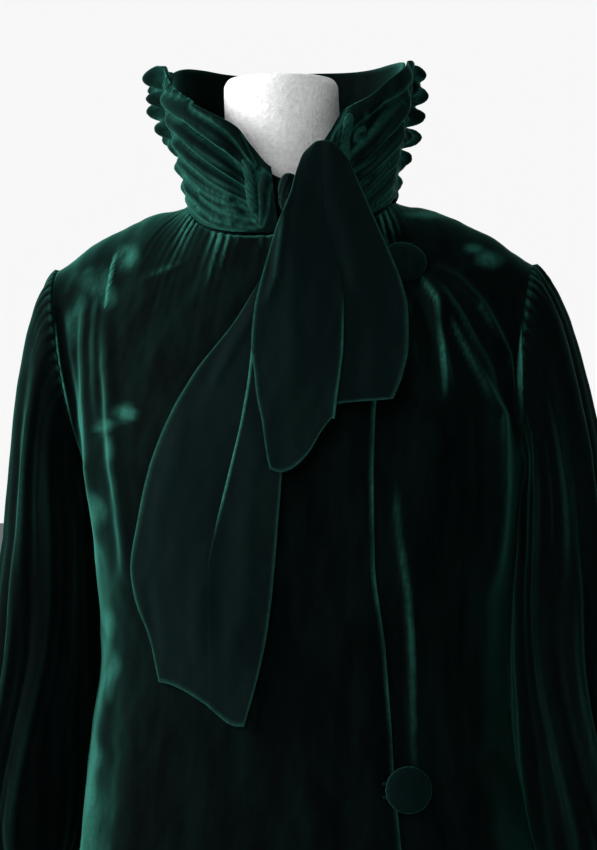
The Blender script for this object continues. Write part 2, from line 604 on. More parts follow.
def neck_start(u, face):
    """Share of the yoke's surface at which a column leaves the neck opening."""
    low, high = np.zeros(u.shape), np.full(u.shape, 0.8)
    for _ in range(26):
        middle = (low + high) / 2
        point = yoke_surface(u, middle, face)
        depth = NECK_FRONT if face < 0 else NECK_BACK
        inside = np.hypot((point[..., 0] - SHOULDER_X) / NECK_HALF, point[..., 1] / depth) < 1.0
        low, high = np.where(inside, middle, low), np.where(inside, high, middle)
    return np.where(np.abs(u) < NECK_U, high, 0.0)


def column_top(across):
    """Place on the surface where a column starts: round the neck opening, then along the shoulder."""
    inside = NECK_U * np.sin(math.pi / 2 * np.clip(across / NECK_SHARE, -1.0, 1.0))
    rest = (np.abs(across) - NECK_SHARE) / (1.0 - NECK_SHARE)
    reach = NECK_HALF / TIP_HALF + (1.0 - NECK_HALF / TIP_HALF) * np.clip(rest, 0.0, 1.0)
    outside = np.copysign(2 / math.pi * np.arcsin(np.minimum(reach ** (1 / ROUND), 1.0)), across)
    return np.where(np.abs(across) < NECK_SHARE, inside, outside)


def face_point(across, level, face):
    """Point of the coat's face. level is 0 at the top edge, 1 at the underarm and 2 at the hem."""
    top = column_top(across)
    first = neck_start(top, face)
    down = np.clip(level, 0.0, 1.0)
    u = top + (across - top) * (1.0 - (1.0 - down) ** COLUMN_FAN)
    yoke = yoke_surface(u, first + (1.0 - first) * down, face)
    below = body_ring(across, UNDERARM_Z + (HEM_Z - UNDERARM_Z) * np.clip(level - 1.0, 0.0, 1.0), face)
    return np.where((level <= 1.0)[..., None], yoke, below)


def chest_point(u, down):
    yoke = yoke_surface(u, np.clip(down, 0.0, 1.0), -1)
    below = body_ring(u, UNDERARM_Z - np.maximum(down - 1.0, 0.0), -1)
    return np.where((down <= 1.0)[..., None], yoke, below)


def chest_place(x, z):
    """The points and outward normals of the front, seen from straight ahead at x and z."""
    x, z = np.broadcast_arrays(np.asarray(x, float), np.asarray(z, float))
    u = x / 0.2
    down = np.where(z > UNDERARM_Z, 0.5, 1.0 + UNDERARM_Z - z)
    step = 1e-4
    for _ in range(40):
        point = chest_point(u, down)
        gain_u = (chest_point(u + step, down) - point) / step
        gain_d = (chest_point(u, down + step) - point) / step
        miss_x, miss_z = x - point[..., 0], z - point[..., 2]
        size = gain_u[..., 0] * gain_d[..., 2] - gain_d[..., 0] * gain_u[..., 2]
        move_u = (miss_x * gain_d[..., 2] - miss_z * gain_d[..., 0]) / size
        move_d = (miss_z * gain_u[..., 0] - miss_x * gain_u[..., 2]) / size
        u = np.clip(u + 0.8 * np.clip(move_u, -0.06, 0.06), -0.98, 0.98)
        down = np.maximum(down + 0.8 * np.clip(move_d, -0.06, 0.06), 0.0)
    normal = np.cross(gain_d, gain_u)
    return point, normal / np.linalg.norm(normal, axis=-1, keepdims=True)


def chest_y(x, z):
    place, _ = chest_place(x, np.minimum(z, CHEST_TOP_Z))
    return place[..., 1] + CHEST_TOP_SLOPE * np.maximum(z - CHEST_TOP_Z, 0.0)


# Folds
def along(line, x, z):
    """Distance from a line of points, with its side's sign, and the share along it of the nearest place."""
    points = np.array(line)
    lengths = np.linalg.norm(np.diff(points, axis=0), axis=1)
    best, share, side, done = np.full(x.shape, 9.0), np.zeros(x.shape), np.ones(x.shape), 0.0
    for a, b, length in zip(points[:-1], points[1:], lengths):
        run = (b - a) / length
        t = np.clip((x - a[0]) * run[0] + (z - a[1]) * run[1], 0.0, length)
        off_x, off_z = x - a[0] - t * run[0], z - a[1] - t * run[1]
        off = np.hypot(off_x, off_z)
        near = off < best
        best, share = np.where(near, off, best), np.where(near, (done + t) / lengths.sum(), share)
        side = np.where(near, np.sign(off_x * run[1] - off_z * run[0]), side)
        done += length
    return best * side, share


def folds_at(folds, x, z):
    """Height of the folds: each is steeper on one side, and fades out at both ends."""
    total = np.zeros(x.shape)
    for line, height, half in folds:
        off, share = along(line, x, z)
        fade = np.sin(math.pi * np.clip(share, 0.001, 0.999)) ** 0.6
        ridge = bump(off, half) + 0.35 * bump(off + 1.5 * half, 2.6 * half)
        ridge -= 0.30 * bump(off - 1.6 * half, 0.9 * half)
        total += height * fade * ridge
    return total


def ripple(x, z, seed):
    """Small soft unevenness of hanging cloth."""
    turns = np.random.default_rng(seed).uniform(0.0, 2 * math.pi, 8)
    total = np.zeros(x.shape)
    for k, turn in enumerate(turns):
        pitch = 90.0 + 46.0 * k
        lean = 0.35 * math.sin(2.1 * k + seed)
        wave = np.sin(pitch * (x + lean * z) + turn) * np.sin(0.32 * pitch * z + 1.7 * turn)
        total += wave / (1.0 + 0.5 * k)
    return total


# Meshes
def grid_normals(points, ring, turn):
    if ring:
        across = np.roll(points, -1, axis=1) - np.roll(points, 1, axis=1)
    else:
        across = np.gradient(points, axis=1)
    normal = turn * np.cross(np.gradient(points, axis=0), across)
    return normal / np.maximum(np.linalg.norm(normal, axis=2, keepdims=True), 1e-12)


def crest_of(grid, normals, bends=CREST_BENDS):
    """0 to 1: how sharply the cloth bends outwards, which opens its pile so that it looks lighter."""
    best = np.zeros(grid.shape[:2])
    for axis in (0, 1):
        ahead = np.diff(grid, axis=axis)
        size = np.maximum(np.linalg.norm(ahead, axis=2, keepdims=True), 1e-7)
        way = ahead / size
        turn = np.diff(way, axis=axis)
        span = (size[1:] + size[:-1]) / 2 if axis == 0 else (size[:, 1:] + size[:, :-1]) / 2
        inner = (slice(1, -1), slice(None)) if axis == 0 else (slice(None), slice(1, -1))
        bend = -(turn * normals[inner]).sum(axis=2) / span[..., 0]
        best[inner] = np.maximum(best[inner], bend)
    return ease(best, *bends)


def blurred(values, passes):
    """The values, each made the mean of itself and its eight neighbours, in so many passes."""
    for _ in range(passes):
        wide = np.pad(values, 1, mode="edge")
        rows = (wide[:-2] + wide[1:-1] + wide[2:]) / 3
        values = (rows[:, :-2] + rows[:, 1:-1] + rows[:, 2:]) / 3
    return values


def quads_of(rows, columns, ring, turn):
    last = columns if ring else columns - 1
    row, column = np.meshgrid(np.arange(rows - 1), np.arange(last), indexing="ij")
    a, b = row * columns + column, (row + 1) * columns + column
    c, d = (row + 1) * columns + (column + 1) % columns, row * columns + (column + 1) % columns
    quads = np.stack((a, b, c, d), axis=-1).reshape(-1, 4)
    return quads if turn > 0 else quads[:, ::-1]


def tube_faces(rows, around, turn, cap_turn=1):
    """Faces of a tube through rings of points, closed by a cap at each end, with the way each runs round."""
    first = list(range(around))
    last = list(range((rows - 1) * around, rows * around))
    caps = [first, last[::-1]] if cap_turn > 0 else [first[::-1], last]
    return quads_of(rows, around, True, turn).tolist() + caps


def make_piece(name, points, faces, material, crest=None, nap=None):
    """One smooth mesh that stands for the part's solid of the same name. crest and nap are 0 to 1."""
    mesh = bpy.data.meshes.new(name)
    corners = np.asarray(points, float).reshape(-1, 3)
    mesh.from_pydata(corners.tolist(), [], [list(map(int, face)) for face in faces])
    mesh.materials.append(material)
    mesh.shade_smooth()
    for word, values in (("crest", crest), ("nap", nap)):
        filled = np.zeros(len(mesh.vertices)) if values is None else np.asarray(values, float).reshape(-1)
        mesh.attributes.new(word, "FLOAT", "POINT").data.foreach_set("value", filled)
    item = bpy.data.objects.new(name, mesh)
    bpy.context.scene.collection.objects.link(item)
    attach(item, "root")
    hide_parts(name)
    return item


def make_cloth(name, grid, turn, material, thickness=CLOTH, ring=False, nap=None, crest=None):
    """A wall of cloth under a grid of points, rows down and columns across."""
    rows, columns = grid.shape[:2]
    if crest is None:
        crest = crest_of(grid, grid_normals(grid, ring, -turn))
    item = make_piece(name, grid, quads_of(rows, columns, ring, turn), material, crest, nap)
    wall = item.modifiers.new("wall", "SOLIDIFY")
    wall.thickness = thickness
    wall.offset = -1.0


def rolled(grid, normals, side, radius, steps=5):
    """The grid with a soft turned-in edge on its first or last row or column."""
    axis, end = side
    line = np.take(grid, -1 if end else 0, axis=axis)
    before = np.take(grid, -2 if end else 1, axis=axis)
    out = line - before
    out /= np.maximum(np.linalg.norm(out, axis=-1, keepdims=True), 1e-9)
    normal = np.take(normals, -1 if end else 0, axis=axis)
    extra = []
    for step in range(1, steps + 1):
        turn = math.radians(160.0) * step / steps
        extra.append(line + radius * (out * math.sin(turn) - normal * (1.0 - math.cos(turn))))
    extra = np.stack(extra if end else extra[::-1], axis=axis)
    return np.concatenate((grid, extra) if end else (extra, grid), axis=axis)


def grown(values, side, steps=5):
    """The nap's values, repeated over a rolled edge."""
    axis, end = side
    line = np.take(values, [-1 if end else 0] * steps, axis=axis)
    return np.concatenate((values, line) if end else (line, values), axis=axis)


# Materials
def new_material(name):
    made = bpy.data.materials.new(name)
    made.use_nodes = True
    tree = made.node_tree
    return made, tree, tree.nodes["Principled BSDF"]


def node(tree, kind, inputs=(), **settings):
    made = tree.nodes.new(kind)
    for key, value in settings.items():
        setattr(made, key, value)
    for key, value in dict(inputs).items():
        if isinstance(value, bpy.types.NodeSocket):
            tree.links.new(value, made.inputs[key])
        else:
            made.inputs[key].default_value = value
    return made


def colour_mix(tree, share, first, second):
    mixed = node(tree, "ShaderNodeMix", data_type="RGBA")
    for socket, value in ((0, share), (6, first), (7, second)):
        if isinstance(value, bpy.types.NodeSocket):
            tree.links.new(value, mixed.inputs[socket])
        else:
            mixed.inputs[socket].default_value = value
    return mixed.outputs[2]


def spread(tree, value, low, high, start=0.0, end=1.0):
    """The value, with the range from low to high stretched to the one from start to end."""
    ranges = {"From Min": low, "From Max": high, "To Min": start, "To Max": end}
    return node(tree, "ShaderNodeMapRange", {"Value": value} | ranges).outputs["Result"]


def noise(tree, place, scale, detail, roughness=0.5):
    inputs = {"Vector": place, "Scale": scale, "Detail": detail, "Roughness": roughness}
    return node(tree, "ShaderNodeTexNoise", inputs).outputs["Fac"]


def times(tree, first, second, operation="MULTIPLY"):
    return node(tree, "ShaderNodeMath", {0: first, 1: second}, operation=operation).outputs[0]


def relief(tree, height, strength, distance, over=None):
    """Normal of a fine relief, laid over another such normal where one is given."""
    inputs = {"Height": height, "Strength": strength, "Distance": distance}
    if over is not None:
        inputs["Normal"] = over
    return node(tree, "ShaderNodeBump", inputs).outputs["Normal"]


def velvet(name, deep, lit, sheen, ridge, rim):
    """Silk velvet: nearly black face on, green where its pile is seen from the side."""
    made, tree, shader = new_material(name)
    place = node(tree, "ShaderNodeTexCoord").outputs["Object"]
    streaks = node(tree, "ShaderNodeMapping", {"Vector": place, "Scale": (1.0, 1.0, 0.22)}).outputs["Vector"]
    clouds = noise(tree, streaks, 34.0, 5.0, 0.62)
    fine = noise(tree, place, 240.0, 6.0, 0.7)
    hairs = noise(tree, place, 2600.0, 2.0, 0.6)
    face = colour_mix(tree, spread(tree, clouds, 0.40, 0.74), deep, lit)

    nap = node(tree, "ShaderNodeAttribute", attribute_name="nap").outputs["Fac"]
    cloudy = spread(tree, clouds, 0.40, 0.60, 0.25, 1.15)
    grainy = spread(tree, fine, 0.30, 0.66, 0.55, 1.0)
    face = colour_mix(tree, times(tree, nap, times(tree, cloudy, grainy)), face, GLANCE)

    crest = node(tree, "ShaderNodeAttribute", attribute_name="crest").outputs["Fac"]
    worn = times(tree, crest, spread(tree, fine, 0.30, 0.62, 0.35, 1.0))
    face = colour_mix(tree, times(tree, worn, ridge), face, GLANCE)

    side_on = node(tree, "ShaderNodeLayerWeight", {"Blend": 0.5}).outputs["Facing"]
    edge = times(tree, side_on, 4.0, "POWER")
    face = colour_mix(tree, times(tree, edge, rim), face, GLANCE)
    tree.links.new(face, shader.inputs["Base Color"])
    tree.links.new(spread(tree, fine, 0.3, 0.7, 0.78, 0.95), shader.inputs["Roughness"])
    nubs = relief(tree, fine, 0.22, 0.0012)
    tree.links.new(relief(tree, hairs, 0.5, 0.0003, nubs), shader.inputs["Normal"])
    shader.inputs["Specular IOR Level"].default_value = 0.012
    shader.inputs["Sheen Weight"].default_value = sheen
    shader.inputs["Sheen Roughness"].default_value = 0.30
    shader.inputs["Sheen Tint"].default_value = SHEEN
    return made


def jersey():
    """White napped jersey over padding."""
    made, tree, shader = new_material("form_jersey")
    place = node(tree, "ShaderNodeTexCoord").outputs["Object"]
    stitches = node(tree, "ShaderNodeTexVoronoi", {"Vector": place, "Scale": 420.0}).outputs["Distance"]
    tufts = noise(tree, place, 240.0, 6.0, 0.72)
    tree.links.new(colour_mix(tree, spread(tree, tufts, 0.30, 0.62), *JERSEY), shader.inputs["Base Color"])
    soft = relief(tree, tufts, 0.7, 0.0022)
    tree.links.new(relief(tree, stitches, 0.35, 0.0006, soft), shader.inputs["Normal"])
    tree.links.new(spread(tree, tufts, 0.3, 0.7, 0.86, 0.98), shader.inputs["Roughness"])
    shader.inputs["Sheen Weight"].default_value = 0.25
    shader.inputs["Specular IOR Level"].default_value = 0.2
    return made


def metal():
    """Brushed steel of the pole and the base."""
    made, tree, shader = new_material("stand_steel")
    place = node(tree, "ShaderNodeTexCoord").outputs["Object"]
    brushing = {"Vector": place, "Scale": (60.0, 60.0, 900.0)}
    grain = noise(tree, node(tree, "ShaderNodeMapping", brushing).outputs["Vector"], 1.0, 4.0)
    smears = noise(tree, place, 14.0, 3.0)
    tree.links.new(colour_mix(tree, spread(tree, smears, 0.35, 0.7), *STEEL), shader.inputs["Base Color"])
    tree.links.new(spread(tree, grain, 0.3, 0.7, 0.26, 0.46), shader.inputs["Roughness"])
    tree.links.new(relief(tree, grain, 0.10, 0.0004), shader.inputs["Normal"])
    shader.inputs["Metallic"].default_value = 1.0
    return made


COAT, ARM, TIE, RUCHE, DOME = (velvet(name, *look) for name, look in VELVETS.items())


# Body panels
def body_levels():
    """Levels from the top edge to the hem, closest together in the upper part."""
    yoke_rows, upper_rows, skirt_rows = BODY_ROWS
    sparse = 1.0 + (UNDERARM_Z - SPARSE_BELOW_Z) / (UNDERARM_Z - HEM_Z)
    yoke = np.linspace(0.0, 1.0, yoke_rows, endpoint=False)
    upper = np.linspace(1.0, sparse, upper_rows, endpoint=False)
    return np.concatenate((yoke, upper, np.linspace(sparse, 2.0, skirt_rows)))


def lap_line(levels, offset):
    """Place across, on each row, of the line that lies offset from the right front's free edge."""
    low, high = np.zeros(levels.shape), np.full(levels.shape, 0.6)
    for _ in range(30):
        middle = (low + high) / 2
        point = face_point(middle, levels, -1)
        inside = point[..., 0] < read(LAP_EDGE, point[..., 2], 1) + offset
        low, high = np.where(inside, middle, low), np.where(inside, high, middle)
    return (low + high) / 2


def flutes(across, point):
    """Soft waves that grow towards the hem and vanish at the side seams and where the fronts lap."""
    grow = ease(FLUTE_START_Z - point[..., 2], 0.0, FLUTE_START_Z - HEM_Z)
    flat = ease(np.abs(across), 0.9, 1.0)
    inside, half = FLUTE_CALM
    lap = bump(point[..., 0] - read(LAP_EDGE, point[..., 2], 1) + inside, half)
    flat = np.where(point[..., 1] < 0.0, np.maximum(flat, lap), flat)
    return FLUTE_DEPTH * grow * np.cos(2 * math.pi * SKIRT_FLUTES * across) * (1.0 - flat)


def neck_gathers(across, level):
    """Small gathers that run down from the collar seam."""
    inside = 1.0 - ease(np.abs(across), NECK_SHARE * 0.95, NECK_SHARE * 1.10)
    fade = np.exp(-np.maximum(level, 0.0) / GATHER_FADE) * (0.55 + 0.45 * np.sin(31.0 * across + 1.0))
    return GATHER_HEIGHT * inside * fade * np.cos(2 * math.pi * GATHERS * across + 5.0 * level)


def brushed(x, z):
    """How far the pile is brushed the other way, 0 to 1, in patches with wavering outlines."""
    total = np.zeros(x.shape)
    wander = 0.004 * np.sin(61.0 * z + 0.7) + 0.003 * np.sin(143.0 * z + 40.0 * x)
    for at_x, at_z, half_x, half_z, strength in BRUSHED:
        reach = np.hypot((x + wander - at_x) / half_x, (z - at_z) / half_z)
        total = np.maximum(total, strength * (1.0 - ease(reach, 0.25, 1.6)))
    return total


def panel(name, start, end, columns, face, folds, seed, drop=False, roll=()):
    levels = body_levels()
    shares = np.linspace(0.0, 1.0, columns + 1)
    across = start[:, None] + (end - start)[:, None] * shares
    level = np.repeat(levels[:, None], columns + 1, axis=1)
    base = face_point(across, level, face)
    normals = grid_normals(base, False, -face)
    x, z = base[..., 0], base[..., 2]
    lift = folds_at(folds, x, z) + flutes(across, base) + neck_gathers(across, level)
    lift += BODY_RIPPLE * ripple(x, z, seed) * (1.0 - ease(np.abs(across), 0.93, 1.0))
    lift -= SEAM_DIP * bump(1.0 - np.abs(across), SEAM_HALF) * ease(level, 1.0, 1.04)
    if drop:
        past = x - read(LAP_EDGE, z, 1)
        lift -= (LAP_DROP + LAP_DROP_TOP * ease(z, 1.32, 1.36)) * (1.0 - ease(past, 0.006, 0.034))
    grid = base + normals * lift[..., None]
    nap = brushed(x, z) if face < 0 else np.zeros(x.shape)
    outward = grid_normals(grid, False, -face)
    for side, radius in roll:
        grid, nap = rolled(grid, outward, side, radius), grown(nap, side)
        outward = grid_normals(grid, False, -face)
    ridges = crest_of(grid, grid_normals(grid, False, -face))
    if LAP_ROLL in roll:
        ridges[:, -LAP_EDGE_COLUMNS:] *= LAP_EDGE_WORN * (0.4 + 0.6 * np.sin(37.0 * grid[:, -1:, 2]) ** 2)
    make_cloth(name, grid, face, COAT, nap=nap, crest=ridges)


def make_body():
    levels = body_levels()
    edge, under = lap_line(levels, 0.0), lap_line(levels, -LAP_UNDER)
    seam = np.ones(levels.shape)
    rolls = (SKIRT_ROLL, LAP_ROLL)
    panel("front_right", -seam, edge, FRONT_RIGHT_COLUMNS, -1, FRONT_FOLDS, 3, roll=rolls)
    panel("front_left", under, seam, FRONT_LEFT_COLUMNS, -1, FRONT_FOLDS, 5, drop=True, roll=rolls[:1])
    panel("back", -seam, seam, BACK_COLUMNS, 1, BACK_FOLDS, 7, roll=rolls[:1])


# Sleeves
def armhole_point(angle, side):
    front = yoke_surface(np.full(angle.shape, float(side)), np.clip(angle / 180.0, 0.0, 1.0), -1)
    back = yoke_surface(np.full(angle.shape, float(side)), np.clip((360.0 - angle) / 180.0, 0.0, 1.0), 1)
    return np.where((angle <= 180.0)[..., None], front, back)


def arm_ring(angle, z, side):
    turn = np.radians(angle)
    inner = read(ARM_SECTIONS, z, 3 if side > 0 else 1)
    outer = read(ARM_SECTIONS, z, 4 if side > 0 else 2)
    reach = (inner + outer) / 2 + (outer - inner) / 2 * np.cos(turn)
    return stacked(side * reach, ARM_CENTRE_Y - read(ARM_SECTIONS, z, 5) * np.sin(turn), z)


def sleeve_cap(angle, share, side):
    """Point of the sleeve between the armhole and its first level ring."""
    high = (1.0 + np.cos(np.radians(angle))) / 2
    start = armhole_point(angle, side) + stacked(side * CAP_CLEAR * (1.0 - high), 0.0, 0.0)
    end = arm_ring(angle, np.full(angle.shape, ARM_TOP_Z), side)
    forward = np.sin(np.radians(angle))
    out, up = (low + more * high for low, more in (CAP_OUT, CAP_END_UP))
    leave = start + stacked(side * out, -CAP_FORWARD * forward, -CAP_DOWN)
    arrive = end + stacked(-side * CAP_END_IN * high, 0.0, up)
    return bezier(start, leave, arrive, end, share)


def sleeve_lift(turn, down, height):
    """How far the sleeve's folds and gathers stand out, at a turn round it and a share of the way down."""
    outside = 0.30 + 0.70 * (1.0 + np.cos(turn)) / 2
    uneven = 0.75 + 0.25 * np.sin(5 * turn + 0.8)
    grow = 0.30 + 0.70 * ease(down, 0.0, 0.35)
    grow *= 1.0 - 0.55 * ease(down, 0.95, 1.0)
    wander = 0.10 * np.sin(5.0 * down + 2 * turn) + 0.05 * np.sin(11.0 * down + 3 * turn)
    main = np.cos(SLEEVE_FOLDS * (turn + wander)) + 0.25 * np.cos(2 * SLEEVE_FOLDS * (turn + wander) + 0.6)
    second = 0.30 * np.cos(SMALL_FOLDS * turn + 30.0 * wander + 1.3 * np.sin(7.0 * down))
    lift = height * outside * uneven * grow * (main + second - 0.25) * ease(down, 0.0, 0.05)
    lift -= CAP_SLIM * outside * np.sin(math.pi * np.clip(down / 0.45, 0.0, 1.0))
    lift += INSIDE_FULL * (1.0 - np.cos(turn)) / 2 * ease(down, 0.12, 0.24)
    shirred = 0.5 + 0.5 * np.cos(SHIRR_FOLDS * turn + 2.0 * np.sin(3 * turn))
    at_top = np.exp(-down / 0.035) * ease(down, 0.0, 0.006)
    return lift + (SHIRR_TOP * outside * at_top + SHIRR_CUFF * ease(down, 0.955, 0.99)) * shirred


def make_sleeve(word, side):
    angles = np.arange(SLEEVE_COLUMNS)[None] * 360.0 / SLEEVE_COLUMNS
    shares = np.linspace(0.0, 1.0, CAP_ROWS, endpoint=False)[:, None]
    arm = np.linspace(ARM_TOP_Z, MOUTH_Z, ARM_ROWS, endpoint=False)
    heights = np.concatenate((arm, np.linspace(MOUTH_Z, SLEEVE_END_Z, MOUTH_ROWS)))[:, None]
    base = np.concatenate(
        (
            sleeve_cap(*np.broadcast_arrays(angles, shares), side),
            arm_ring(*np.broadcast_arrays(angles, heights), side),
        )
    )
    down = np.linspace(0.0, 1.0, len(base))[:, None]
    lift = sleeve_lift(np.radians(angles), down, read(ARM_SECTIONS, base[..., 2], 6))
    lift += SLEEVE_RIPPLE * ripple(side * base[..., 0], base[..., 2], 11 + side)
    grid = base + grid_normals(base, True, -side) * lift[..., None]
    ridges = crest_of(grid, grid_normals(grid, True, -side)) * (0.25 + 0.75 * np.exp(-down / 0.20))
    make_cloth(f"sleeve_{word}", grid, side, ARM, ring=True, crest=ridges)


def make_cuff(word, side):
    """Plain band, a little rounded, with its lower edge turned in."""
    columns, rows = 120, 22
    angles = np.repeat((np.arange(columns) * 360.0 / columns)[None], rows, 0)
    share = np.linspace(0.0, 1.0, rows)[:, None]
    grid = arm_ring(angles, np.full(angles.shape, CUFF_TOP_Z), side)
    grid[..., 2] = CUFF_TOP_Z + (CUFF_BOTTOM_Z - CUFF_TOP_Z) * share
    normals = grid_normals(grid, True, -side)
    soft = 0.0007 * np.sin(math.pi * share) + 0.0003 * np.cos(9 * np.radians(angles)) * (1.0 - share)
    grid = rolled(grid + normals * soft[..., None], normals, *CUFF_ROLL)
    make_cloth(f"cuff_{word}", grid, side, COAT, thickness=CUFF_CLOTH, ring=True)


# Collar
def neckline_rows():
    """Height of the neckline at each angle round the collar, from -180 to 180 degrees."""
    rows = []
    for degrees in range(-180, 181, 4):
        face = -1 if abs(degrees) <= 90 else 1
        u = np.array(NECK_U * math.sin(math.radians(degrees)))
        point = yoke_surface(u, neck_start(u, face), face)
        depth = NECK_FRONT if face < 0 else NECK_BACK
        turn = math.degrees(math.atan2((point[0] - SHOULDER_X) / NECK_HALF, -point[1] / depth))
        rows.append((math.copysign(180.0, degrees) if abs(degrees) == 180 else turn, float(point[2])))
    return tuple(rows)


NECKLINE = neckline_rows()


def signed(angle):
    return (angle + 180.0) % 360.0 - 180.0


def stand_point(angle, share, out):
    """Point of the collar stand: share 0 at the neckline and 1 at the top edge, out from its face."""
    turn = np.radians(angle)
    half = NECK_HALF + (STAND_TOP_HALF - NECK_HALF) * share
    front = NECK_FRONT + (STAND_TOP_FRONT - NECK_FRONT) * share
    back = NECK_BACK + (STAND_TOP_BACK - NECK_BACK) * share
    depth = np.where(np.cos(turn) > 0.0, front, back)
    z = read(NECKLINE, signed(angle), 1) + COLLAR_SEAT + read(COLLAR_HEIGHTS, signed(angle), 1) * share
    x = SHOULDER_X + STAND_LEAN_X * share + (half + out) * np.sin(turn)
    return stacked(x, -(depth + out) * np.cos(turn), z)


def make_stand():
    """Smooth inside of the collar, with a stitched line under its top edge."""
    first, last = COLLAR_SLIT + COLLAR_SLIT_HALF, COLLAR_SLIT + 360.0 - COLLAR_SLIT_HALF
    around = np.linspace(first, last, STAND_COLUMNS)[None]
    share = np.linspace(1.0, -0.05, STAND_ROWS)[:, None] * (1.0 - STAND_LOWER * in_front(around))
    angles = np.repeat(around, STAND_ROWS, 0)
    stitch_at, stitch_half, stitch_height = STITCH
    stitch = bump(share - stitch_at, stitch_half) * stitch_height
    wave = 0.0005 * np.sin(np.radians(angles) * 9.0) * share
    inner = stand_point(angles, share, -0.0030 + stitch - wave)
    outer = stand_point(angles, share, 0.0)
    over = np.concatenate((outer[2::-1], inner))
    make_cloth("collar_stand", over, -1, COAT, thickness=STAND_CLOTH)


def ring_distance(angle):
    return np.min([np.abs(signed(angle - ring[0])) for ring in COLLAR_RINGS], axis=0)


def in_front(angle):
    return 1.0 - ease(np.abs(signed(angle)), SWAG_ROLL[1], SWAG_ROLL[2])


def swag_top(angle):
    return SWAG_TOP + SWAG_ROLL[0] * in_front(angle)


def flat_place(angle, up):
    """The cover laid flat: metres round the collar and metres up it."""
    return signed(angle) * math.radians(FLAT_RADIUS), up * FLAT_HEIGHT


def swag_relief(angle, up):
    """Height of the ruching: the highest puff or lobe at each place, with creases where they meet."""
    across, high = flat_place(angle, up)
    height = np.zeros(np.broadcast(across, high).shape)
    lines = np.zeros(height.shape)
    for line, half, top in PUFFS:
        flat = [flat_place(np.array(float(a)), u) for a, u in line]
        off, share = along([(float(a), float(u)) for a, u in flat], across, high)
        wide = half * (0.72 + 0.28 * np.sin(math.pi * np.clip(share, 0.0, 1.0)))
        round_top = np.sqrt(np.maximum(1.0 - (off / wide) ** 2, 0.0))
        lines = np.where(PUFF_FULL * top * round_top > height, np.cos(off / wide * 5.0 + 4.0 * share), lines)
        height = np.maximum(height, PUFF_FULL * top * round_top)
    for middle, rise, half, top in LOBES:
        at_x, at_z = flat_place(np.array(middle), rise)
        off = np.hypot(across - at_x, high - at_z) / half
        height = np.maximum(height, top * np.sqrt(np.maximum(1.0 - off**2, 0.0)))
    dents = np.sin(300.0 * across - 140.0 * high) * np.sin(120.0 * across + 260.0 * high)
    return height + CRINKLE * (0.7 * lines**5 + 0.3 * dents)


def swag_thickness(angle, up):
    """Thickness of the cover: a soft body under the ruching, pinched at the cinch rings."""
    angle, up = np.broadcast_arrays(angle, up)
    near = np.maximum(ring_distance(angle) - RING_FLAT, 0.0)
    pinch = 1.0 - RING_PINCH[0] * bump(near, RING_PINCH[1])
    closed = np.maximum(np.sin(math.pi * (0.04 + 0.92 * np.clip(up, 0.0, 1.0))), 0.0) ** SWAG_END_ROUND
    ruching = swag_relief(angle, up * swag_top(angle))
    body = 0.5 * (SWAG_THIN + SWAG_THICK * up**1.2)
    return np.maximum((body + ruching) * closed * pinch, SWAG_LEAST)


def cover_point(angle, rise, out):
    """Point of the cover, with rise from 0 at its lower edge to 1 at its upper one."""
    return stand_point(angle, SWAG_LOW + (swag_top(angle) - SWAG_LOW) * rise, out)


def make_swags():
    """The ruched cover in stretches, each a closed tube whose flat back lies on the stand."""
    up = np.linspace(0.0, 1.0, SWAG_ROWS)
    down = np.linspace(1.0, 0.0, 8)[1:-1]
    for number, (start, end, columns) in enumerate(SWAGS, 1):
        angles = np.linspace(start, end, columns + 1)
        outer_at, outer_rise = np.meshgrid(angles, up)
        outer = cover_point(outer_at, outer_rise, SWAG_CLEAR + swag_thickness(outer_at, outer_rise))
        back = cover_point(*np.meshgrid(angles, down), SWAG_CLEAR)
        loop = np.concatenate((outer, back)).transpose(1, 0, 2)
        turn = 1 if end < start else -1
        bends = crest_of(loop, grid_normals(loop, False, turn), COLLAR_BENDS)
        ridges = np.minimum(blurred(bends, COLLAR_BLUR) * COLLAR_WORN, 1.0)
        faces = tube_faces(*loop.shape[:2], turn, -turn)
        swag = make_piece(f"collar_swag_{number}", loop, faces, RUCHE, crest=ridges)


def make_rings():
    """Each cinch ring is a soft band with small gathers, bowed out over the ruching."""
    turns = np.linspace(0.0, 2 * math.pi, 32, endpoint=False)
    for number, (middle, low, high) in enumerate(COLLAR_RINGS, 1):
        rise = np.linspace(low, high, 90)
        reach = np.max([swag_thickness(middle + d, rise) for d in (-RING_FLAT, 0.0, RING_FLAT)], axis=0)
        reach = np.convolve(np.pad(reach, 12, mode="edge"), np.ones(25) / 25, mode="valid")
        ending = np.sqrt(np.maximum(1.0 - (2 * (rise - low) / (high - low) - 1.0) ** 6, 0.02))
        pleats = 1.0 + 0.10 * np.sin(rise * 90.0 + number)[:, None] * np.cos(3 * turns)[None]
        angle = middle + RING_HALF * ending[:, None] * np.cos(turns)[None] * pleats
        centre = SWAG_CLEAR + reach - 0.0010 + 0.0006 * np.sin(9.0 * rise)
        out = centre[:, None] + RING_THICK * 0.75 * ending[:, None] * np.sin(turns)[None] * pleats
        share = SWAG_LOW + (swag_top(np.full(rise.shape, middle)) - SWAG_LOW) * rise
        tube = stand_point(angle, np.repeat(share[:, None], len(turns), 1), out)
        worn = np.full(tube.shape[:2], RING_WORN)
        faces = tube_faces(*tube.shape[:2], 1)
        ring = make_piece(f"collar_ring_{number}", tube, faces, RUCHE, crest=worn)


